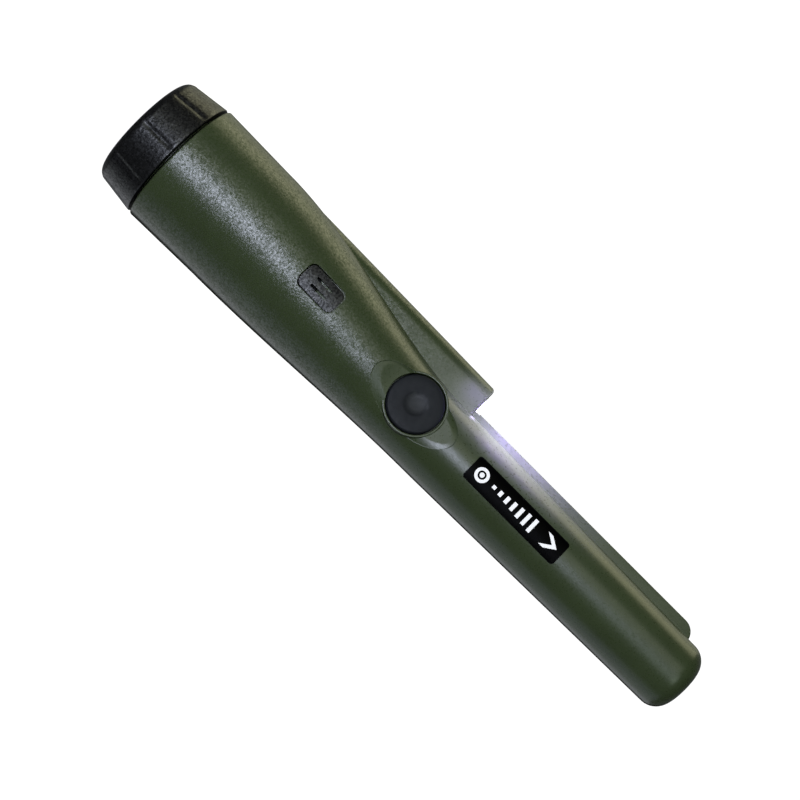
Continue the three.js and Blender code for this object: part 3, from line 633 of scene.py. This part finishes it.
def housing():
    """The housing moulding: the turned form with its pod, blade, scoop, button collar and openings."""
    piece = round_housing()
    combine(piece, pod("pod", 0, POD_START, BLEND_END, POD_EDGE), "UNION")
    combine(piece, blade(), "UNION")
    combine(piece, pod("pod_core", POD_WALL, POD_CORE_Z, BLEND_END - POD_END_WALL, 0), "DIFFERENCE")
    combine(piece, thumb_scoop(), "DIFFERENCE")
    combine(piece, scoop_step(), "DIFFERENCE")
    bore = [(0, FRONT), (WELL_R, FRONT), (WELL_R, COLLAR_BASE), (0, COLLAR_BASE)]
    combine(piece, turned("well", bore, (BUTTON_X, 0, BUTTON_Z), axis="Y", sides=120), "DIFFERENCE")
    combine(piece, button_collar(), "UNION")
    wide = INSERT_HIGH.x - INSERT_LOW.x + 2 * INSERT_GAP
    long = INSERT_HIGH.z - INSERT_LOW.z + 2 * INSERT_GAP
    outline = rounded_outline(wide, long, POCKET_CORNER)
    combine(piece, prism("pocket", outline, INSERT_X, INSERT_Z, FRONT, INSERT_FLOOR), "DIFFERENCE")
    hole = [(0, LAMP_HOLE_START), (LAMP_HOLE_R, LAMP_HOLE_START), (LAMP_HOLE_R, LAMP_HOLE_END),
            (0, LAMP_HOLE_END)]
    combine(piece, turned("lamp_hole", hole, (LAMP_X, 0, 0), sides=48), "DIFFERENCE")
    return smooth(piece, 14)


# ---------------------------------------------------------------- other visible pieces
def battery_cap():
    """A turned cap with nine shallow finger grooves, a rounded foot and an open mouth."""
    angle = np.linspace(0, 2 * math.pi, 48 * CAP_FLUTES, endpoint=False)
    mouth_r = CAP_HIGH.y
    foot_r = mouth_r - CAP_TAPER
    edge, mouth_edge = CAP_FOOT_EDGE, CAP_MOUTH_EDGE
    profile = arc(foot_r - edge, edge, edge, -90, 0, 12)
    side_top = CAP_TOP - mouth_edge
    for h in spaced(edge, side_top, 0.8 * MM)[1:]:
        profile.append((foot_r + (mouth_r - foot_r) * (h - edge) / (side_top - edge), h))
    profile += arc(mouth_r - mouth_edge, side_top, mouth_edge, 15, 90, 5)
    spacing = 2 * math.pi / CAP_FLUTES
    off = ((angle + spacing / 2) % spacing - spacing / 2) * foot_r
    rings = [[(0, 0, 0)]]
    for r, h in profile:
        fade = smoothstep((h - CAP_FLUTE_FOOT) / CAP_FLUTE_FADE_IN)
        fade = fade * smoothstep((CAP_TOP - h) / CAP_FLUTE_FADE_OUT)
        reach = r - CAP_FLUTE_DEPTH * fade * np.exp(-((off / CAP_FLUTE_WIDE) ** 2))
        rings.append(np.stack([reach * np.cos(angle), reach * np.sin(angle), np.full_like(angle, h)], 1))
    mouth = [(CAP_BORE_R + CAP_LEAD_IN, CAP_TOP), (CAP_BORE_R, CAP_TOP - CAP_LEAD_IN)]
    for r, h in mouth + [(CAP_BORE_R, CAP_FLOOR)]:
        rings.append([(r * math.cos(a), r * math.sin(a), h) for a in angle])
    rings.append([(0, 0, CAP_FLOOR)])
    return smooth(skin("battery_cap_shell", rings), 35)


def o_ring():
    """The round rubber ring in the seam."""
    section = (RING_HIGH.z - RING_LOW.z) / 2
    profile = arc(RING_HIGH.y - section, (RING_LOW.z + RING_HIGH.z) / 2, section, 0, 360, 20)
    profile[-1] = profile[0]
    return smooth(turned("cap_seal_ring", profile, (0, 0, 0), sides=120), 60)


def power_button():
    """Turned rubber button: a nearly flat top with a soft centre dimple, a rounded rim and a stem."""
    top, base, end = -BUTTON_LOW.y, -BUTTON_BASE, -STEM_END
    groove, groove_end = -CLIP_GROOVE_START, -CLIP_GROOVE_END
    edge = BUTTON_EDGE
    profile = [(share * DIMPLE_R, top - deep * MM) for share, deep in DIMPLE]
    profile += [(share * BUTTON_R, top - deep * MM) for share, deep in CROWN]
    profile += arc(BUTTON_R - edge, top - edge - BUTTON_EDGE_DROP, edge, 76, 0, 8)
    profile += [(BUTTON_R, base), (STEM_R, base), (STEM_R, groove), (CLIP_GROOVE_R, groove),
                (CLIP_GROOVE_R, groove_end), (STEM_R, groove_end), (STEM_R, end), (0, end)]
    centre = (BUTTON_X, 0, BUTTON_Z)
    piece = turned("power_button_cap", [(r, -h) for r, h in profile], centre, axis="Y", sides=128)
    return smooth(piece, 40)


def front_sheet(name, box_x, box_z, lift, behind):
    """A block whose front follows the form at this lift; behind gives its back's y from x and z."""
    xs, zs = spaced(*box_x, 0.4 * MM), spaced(*box_z, 0.8 * MM)
    rings = []
    for z in zs:
        front = [(x, form_y(x, z, lift), z) for x in xs]
        rings.append(front + [(x, behind(x, z), z) for x in xs[::-1]])
    middle = sum(box_x) / 2
    ends = [[(middle, (form_y(middle, z, lift) + behind(middle, z)) / 2, z)] for z in (zs[0], zs[-1])]
    return skin(name, [ends[0], *rings, ends[1]])


def sounder_insert():
    """The sounder's cover: a rounded plate that follows the handle, with two slots through it."""
    wide, long = INSERT_HIGH.x - INSERT_LOW.x, INSERT_HIGH.z - INSERT_LOW.z
    spare = 1 * MM
    piece = front_sheet("sounder_cover", (INSERT_LOW.x - spare, INSERT_HIGH.x + spare),
                        (INSERT_LOW.z - spare, INSERT_HIGH.z + spare), -INSERT_SINK,
                        lambda x, z: INSERT_HIGH.y)
    outline = rounded_outline(wide, long, INSERT_CORNER)
    combine(piece, prism("edge", outline, INSERT_X, INSERT_Z, FRONT, INSERT_CUT), "INTERSECT")
    slot = rounded_outline(SLOT_WIDE, SLOT_LONG, SLOT_CORNER, 6)
    for x in (INSERT_X - SLOT_PITCH / 2, INSERT_X + SLOT_PITCH / 2):
        combine(piece, prism("slot", slot, x, INSERT_Z, FRONT, INSERT_CUT), "DIFFERENCE")
    return smooth(piece, 20)


def label_plate():
    """The label: a thin plate that follows the probe."""
    spare = 0.5 * MM
    piece = front_sheet("label_sheet", (LABEL_LOW.x - spare, LABEL_HIGH.x + spare),
                        (LABEL_LOW.z - spare, LABEL_HIGH.z + spare), LABEL_LIFT[1],
                        lambda x, z: form_y(x, z, LABEL_LIFT[0]))
    outline = rounded_outline(LABEL_HIGH.x - LABEL_LOW.x, LABEL_HIGH.z - LABEL_LOW.z, LABEL_CORNER)
    combine(piece, prism("edge", outline, LABEL_X, LABEL_Z, FRONT, LABEL_CUT), "INTERSECT")
    return smooth(piece, 20)


def printed_shape(bm, place, across, along):
    """A thin raised print: place maps two shares from 0 to 1 to (across, along) on the label."""
    layers = []
    for lift in PRINT_LIFT:
        grid = []
        for i in range(across + 1):
            row = []
            for j in range(along + 1):
                u, v = place(i / across, j / along)
                x, z = LABEL_X + u, LABEL_Z + v
                row.append(bm.verts.new((x, float(form_y(x, z, lift)), z)))
            grid.append(row)
        layers.append(grid)
    low, high = layers
    for i in range(across):
        for j in range(along):
            for grid in layers:
                bm.faces.new((grid[i][j], grid[i + 1][j], grid[i + 1][j + 1], grid[i][j + 1]))
    for j in range(along):
        for i in (0, across):
            bm.faces.new((low[i][j], low[i][j + 1], high[i][j + 1], high[i][j]))
    for i in range(across):
        for j in (0, along):
            bm.faces.new((low[i][j], low[i + 1][j], high[i + 1][j], high[i][j]))


def label_print():
    """A plain emblem in white: a ringed target, a row of bars that grow, and a pointing chevron."""
    bm = bmesh.new()

    def band(inner, outer, start, end):
        def place(s, t):
            r, a = inner + (outer - inner) * s, start + (end - start) * t
            return r * math.cos(a), TARGET_ALONG + r * math.sin(a)
        return place

    for inner, outer in TARGET_RINGS:
        for half in (0, 1):
            half_ring = band(inner, outer, half * math.pi, (half + 1) * math.pi)
            printed_shape(bm, half_ring, across=3, along=16)
    for step in range(BAR_COUNT):
        half_wide = (BAR_FIRST_HALF + BAR_GROWTH * step / (BAR_COUNT - 1)) * MM
        start = (BAR_START + BAR_PITCH * step) * MM

        def bar(s, t, half_wide=half_wide, start=start):
            return half_wide * (2 * s - 1), start + BAR_THICK * MM * t

        printed_shape(bm, bar, across=10, along=2)
    for side in (-1, 1):
        def arm(s, t, side=side):
            along = CHEVRON_POINT - CHEVRON_SWEEP * s - CHEVRON_THICK * t
            return side * CHEVRON_HALF * MM * s, along * MM

        printed_shape(bm, arm, across=8, along=4)
    bmesh.ops.remove_doubles(bm, verts=bm.verts, dist=0.001 * MM)
    mesh = bpy.data.meshes.new("label_emblem")
    bm.to_mesh(mesh)
    bm.free()
    piece = link(bpy.data.objects.new("label_emblem", mesh))
    outward(piece)
    return piece


def lamp_bulb():
    """The round-headed 5 mm lamp with its flange."""
    base, top = LAMP_LOW.z, LAMP_HIGH.z
    flange_r = (LAMP_HIGH.y - LAMP_LOW.y) / 2
    flange_top = base + LAMP_FLANGE
    profile = [(0, base), (flange_r, base), (flange_r, flange_top), (LAMP_R, flange_top)]
    profile += arc(0, top - LAMP_R, LAMP_R, 0, 90, 12)[:-1] + [(0, top)]
    return smooth(turned("lamp_lens", profile, (LAMP_X, 0, 0), sides=48), 40)


# ---------------------------------------------------------------- materials
class Shader:
    """A Principled material with short calls for its nodes."""

    def __init__(self, name, colour, roughness, metallic=0.0, specular=0.5):
        self.mat = bpy.data.materials.new(name)
        self.mat.use_nodes = True
        self.tree = self.mat.node_tree
        self.base = self.tree.nodes["Principled BSDF"]
        self.base.inputs["Base Color"].default_value = (*colour, 1)
        self.base.inputs["Roughness"].default_value = roughness
        self.base.inputs["Metallic"].default_value = metallic
        self.base.inputs["Specular IOR Level"].default_value = specular
        self.colour = colour
        self.coords = self.add("ShaderNodeTexCoord").outputs["Object"]

    def add(self, kind, **settings):
        """A new node with these settings."""
        node = self.tree.nodes.new(kind)
        for key, value in settings.items():
            setattr(node, key, value)
        return node

    def join(self, output, target):
        self.tree.links.new(output, target)

    def noise(self, size, detail=2.0, roughness=0.5):
        """Soft noise whose blotches are about this size, in metres."""
        node = self.add("ShaderNodeTexNoise")
        node.inputs["Scale"].default_value = 1 / size
        node.inputs["Detail"].default_value = detail
        node.inputs["Roughness"].default_value = roughness
        self.join(self.coords, node.inputs["Vector"])
        return node.outputs["Fac"]

    def cells(self, size, output="Distance"):
        """Cells of this size, as the distance from each cell's middle or one random colour a cell."""
        node = self.add("ShaderNodeTexVoronoi")
        node.inputs["Scale"].default_value = 1 / size
        self.join(self.coords, node.inputs["Vector"])
        return node.outputs[output]

    def ranged(self, value, low, high, to_low, to_high):
        """A value taken from one range to another, and held at its ends."""
        node = self.add("ShaderNodeMapRange")
        self.join(value, node.inputs["Value"])
        node.inputs["From Min"].default_value = low
        node.inputs["From Max"].default_value = high
        node.inputs["To Min"].default_value = to_low
        node.inputs["To Max"].default_value = to_high
        return node.outputs["Result"]

    def math(self, operation, a, b):
        """One step of arithmetic on two values, each a number or a node's output."""
        node = self.add("ShaderNodeMath", operation=operation)
        for value, socket in ((a, node.inputs[0]), (b, node.inputs[1])):
            if isinstance(value, (int, float)):
                socket.default_value = value
            else:
                self.join(value, socket)
        return node.outputs[0]

    def along(self, axis):
        """The point's place along X, Y or Z."""
        split = self.add("ShaderNodeSeparateXYZ")
        self.join(self.coords, split.inputs["Vector"])
        return split.outputs[axis]

    def vary_colour(self, fac, low, high):
        """Base colour from one shade of itself to another."""
        ramp = self.add("ShaderNodeValToRGB")
        for element, position, shade in zip(ramp.color_ramp.elements, NOISE_SPAN, (low, high)):
            element.position = position
            element.color = (*[c * shade for c in self.colour], 1)
        self.join(fac, ramp.inputs["Fac"])
        self.join(ramp.outputs["Color"], self.base.inputs["Base Color"])

    def vary_roughness(self, fac, low, high):
        """Roughness from one value to another."""
        self.join(self.ranged(fac, *NOISE_SPAN, low, high), self.base.inputs["Roughness"])

    def sheen(self, level, grain, spread):
        """Sheen that changes from grain to grain by this share, which makes its highlights sparkle."""
        split = self.add("ShaderNodeSeparateXYZ")
        self.join(self.cells(grain, "Color"), split.inputs["Vector"])
        share = self.math("MULTIPLY", self.ranged(split.outputs["X"], 0, 1, -1.0, 1.0), spread)
        level = self.math("MULTIPLY", self.math("ADD", share, 1.0), level)
        self.join(level, self.base.inputs["Specular IOR Level"])

    def paint_rim_shade(self):
        """Painted shade: a thin dark line painted at the very edge of the side away from the pod."""
        grazing = self.add("ShaderNodeLayerWeight")
        edge = self.ranged(grazing.outputs["Facing"], *RIM_FACING, 0.0, 1.0)
        split = self.add("ShaderNodeSeparateXYZ")
        self.join(self.add("ShaderNodeNewGeometry").outputs["Normal"], split.inputs["Vector"])
        side = self.ranged(split.outputs["X"], *RIM_NORMAL, 0.0, RIM_STRENGTH)
        dark = self.add("ShaderNodeBsdfDiffuse")
        dark.inputs["Color"].default_value = (*[c * RIM_SHADE for c in self.colour], 1)
        mix = self.add("ShaderNodeMixShader")
        self.join(self.math("MULTIPLY", edge, side), mix.inputs[0])
        self.join(self.base.outputs["BSDF"], mix.inputs[1])
        self.join(dark.outputs["BSDF"], mix.inputs[2])
        self.join(mix.outputs["Shader"], self.tree.nodes["Material Output"].inputs["Surface"])

    def bump(self, height, distance, strength=1.0, eased=0.0):
        """Relief this deep; eased softens the piece's own edges by that radius."""
        node = self.add("ShaderNodeBump")
        node.inputs["Strength"].default_value = strength
        node.inputs["Distance"].default_value = distance
        self.join(height, node.inputs["Height"])
        if eased > 0:
            edge = self.add("ShaderNodeBevel", samples=6)
            edge.inputs["Radius"].default_value = eased
            self.join(edge.outputs["Normal"], node.inputs["Normal"])
        self.join(node.outputs["Normal"], self.base.inputs["Normal"])


def green_plastic():
    """Olive moulding, grained on the handle, smooth on the probe and inside the thumb scoop."""
    s = Shader("olive_moulding", OLIVE, 0.3)
    offset = s.add("ShaderNodeVectorMath", operation="SUBTRACT")
    s.join(s.coords, offset.inputs[0])
    offset.inputs[1].default_value = (PAD_X, 0, PAD_Z)
    oval = s.add("ShaderNodeVectorMath", operation="MULTIPLY")
    s.join(offset.outputs["Vector"], oval.inputs[0])
    oval.inputs[1].default_value = (1 / PAD_HALF_WIDE, 0, 1 / PAD_HALF_LONG)
    reach = s.add("ShaderNodeVectorMath", operation="LENGTH")
    s.join(oval.outputs["Vector"], reach.inputs[0])
    outside = s.math("MAXIMUM", s.ranged(reach.outputs["Value"], *PAD_GRAIN_EDGE, 0.0, 1.0),
                     s.ranged(s.along("Y"), *PAD_GRAIN_Y, 0.0, 1.0))
    coarse = s.math("MULTIPLY", s.ranged(s.along("Z"), *GRAIN_FADE, 1.0, SMOOTH_GRAIN), outside)
    spark = s.noise(0.5 * MM, detail=3.0, roughness=0.7)
    s.bump(s.math("MULTIPLY", spark, coarse), 0.07 * MM, 0.9, eased=0.25 * MM)
    s.vary_colour(s.noise(9 * MM, detail=3.0), 0.93, 1.07)
    s.vary_roughness(s.noise(0.8 * MM), 0.26, 0.34)
    s.sheen(SPARK_SHEEN, SPARK_SIZE, s.math("MULTIPLY", coarse, 0.7))
    # Painted shade: a thin dark line along the very edge of the side away from the pod
    s.paint_rim_shade()
    return s.mat


def black_grain(name, colour, grain, depth, roughness):
    """Black moulding with a leather-like grain of this size and depth."""
    s = Shader(name, colour, roughness)
    leather = s.math("ADD", s.noise(grain, detail=3.0, roughness=0.6),
                     s.math("MULTIPLY", s.cells(grain * 1.6), 0.5))
    s.bump(leather, depth, 0.8, eased=0.08 * MM)
    s.vary_colour(s.noise(6 * MM), 0.85, 1.15)
    s.vary_roughness(s.noise(1.1 * MM), roughness - 0.06, roughness + 0.08)
    s.sheen(SPARK_SHEEN, SPARK_SIZE, 0.65)
    return s.mat


def satin_rubber(name, colour):
    """Smooth rubber with a soft sheen."""
    s = Shader(name, colour, 0.5, specular=0.25)
    s.bump(s.noise(0.35 * MM, detail=2.0), 0.015 * MM, 0.5)
    s.vary_colour(s.noise(4 * MM), 0.92, 1.08)
    s.vary_roughness(s.noise(1.5 * MM), 0.48, 0.58)
    return s


def button_rubber():
    """Satin rubber, polished by use in its dimple."""
    s = satin_rubber("button_rubber", BUTTON_COLOUR)
    reach = s.add("ShaderNodeVectorMath", operation="DISTANCE")
    s.join(s.coords, reach.inputs[0])
    reach.inputs[1].default_value = (BUTTON_X, BUTTON_LOW.y + 0.5 * MM, BUTTON_Z)
    worn = s.math("ADD", reach.outputs["Value"], s.math("MULTIPLY", s.noise(3 * MM), 1.6 * MM))
    sheen = s.ranged(worn, DIMPLE_R + 0.4 * MM, DIMPLE_R + 1.0 * MM, 0.5, 0.25)
    s.join(sheen, s.base.inputs["Specular IOR Level"])
    return s.mat


def label_film():
    """The label's flat black."""
    s = Shader("label_film", FILM_COLOUR, 0.35, specular=0.04)
    s.bump(s.noise(0.8 * MM), 0.006 * MM, 0.4)
    s.vary_roughness(s.noise(2 * MM), 0.3, 0.4)
    return s.mat


def label_ink():
    """White print with a painted glow, so that it reads as white as the backdrop does."""
    s = Shader("label_ink", INK_COLOUR, 0.5)
    s.base.inputs["Emission Color"].default_value = (1, 1, 1, 1)
    s.base.inputs["Emission Strength"].default_value = INK_GLOW
    s.vary_colour(s.noise(0.5 * MM), 0.97, 1.03)
    return s.mat


def lit_lens():
    """The lamp's lens, switched on."""
    s = Shader("lit_lens", LENS_COLOUR, 0.12)
    s.base.inputs["Emission Color"].default_value = LENS_GLOW
    s.join(s.ranged(s.noise(1.5 * MM), *NOISE_SPAN, *LENS_STRENGTH), s.base.inputs["Emission Strength"])
    return s.mat


def inner_material(slot):
    """A plain finish for the pieces inside, from the record's own colour for their slot."""
    metal = slot["class"] in METAL_CLASSES
    s = Shader("inner_" + slot["slot"], slot["base_color"][:3], 0.5, 1.0 if metal else 0.0)
    s.vary_colour(s.noise(1.5 * MM, detail=3.0), 0.88, 1.1)
    s.vary_roughness(s.noise(1 * MM), 0.3 if metal else 0.5, 0.46 if metal else 0.68)
    s.bump(s.noise(0.4 * MM), 0.01 * MM, 0.4)
    return s.mat


def dress_cad_nodes():
    """Gives every CAD node the plain finish of its slot, which shows on the pieces that stay."""
    slots = {m["slot"]: m for m in frame["record"]["materials"]}
    slot_of = {p["node"]: p["material_slot"] for p in frame["record"]["subparts"]}
    made = {}
    for name, node in frame["nodes"].items():
        slot = slot_of[name]
        if slot not in made:
            made[slot] = inner_material(slots[slot])
        node.data.materials.clear()
        node.data.materials.append(made[slot])


def dress(piece, mat, body, slot, *nodes):
    """Gives a piece its material and the body it rides on, and hides the CAD nodes that it stands for."""
    piece.data.materials.clear()
    piece.data.materials.append(mat)
    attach(piece, body)
    if nodes:
        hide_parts(*nodes)


make_camera()
make_world()
make_stage()
make_lights()
dress_cad_nodes()

cap_black = black_grain("cap_moulding", CAP_COLOUR, CAP_GRAIN, CAP_RELIEF, roughness=0.36)
insert_black = black_grain("insert_moulding", INSERT_COLOUR, INSERT_GRAIN, INSERT_RELIEF, roughness=0.42)
dress(housing(), green_plastic(), "housing", "green_plastic", "housing_shell")
dress(battery_cap(), cap_black, "cap", "black_plastic", "battery_cap")
seal_black = satin_rubber("seal_rubber", SEAL_COLOUR).mat
dress(o_ring(), seal_black, "o_ring", "black_rubber", "cap_o_ring")
dress(power_button(), button_rubber(), "button", "black_rubber", "power_button")
dress(sounder_insert(), insert_black, "housing", "black_plastic", "sounder_insert")
dress(label_plate(), label_film(), "housing", "label", "label_plate")
dress(label_print(), label_ink(), "housing", "label")
dress(lamp_bulb(), lit_lens(), "housing", "lamp_lens", "lamp_bulb")
lamp_glow()
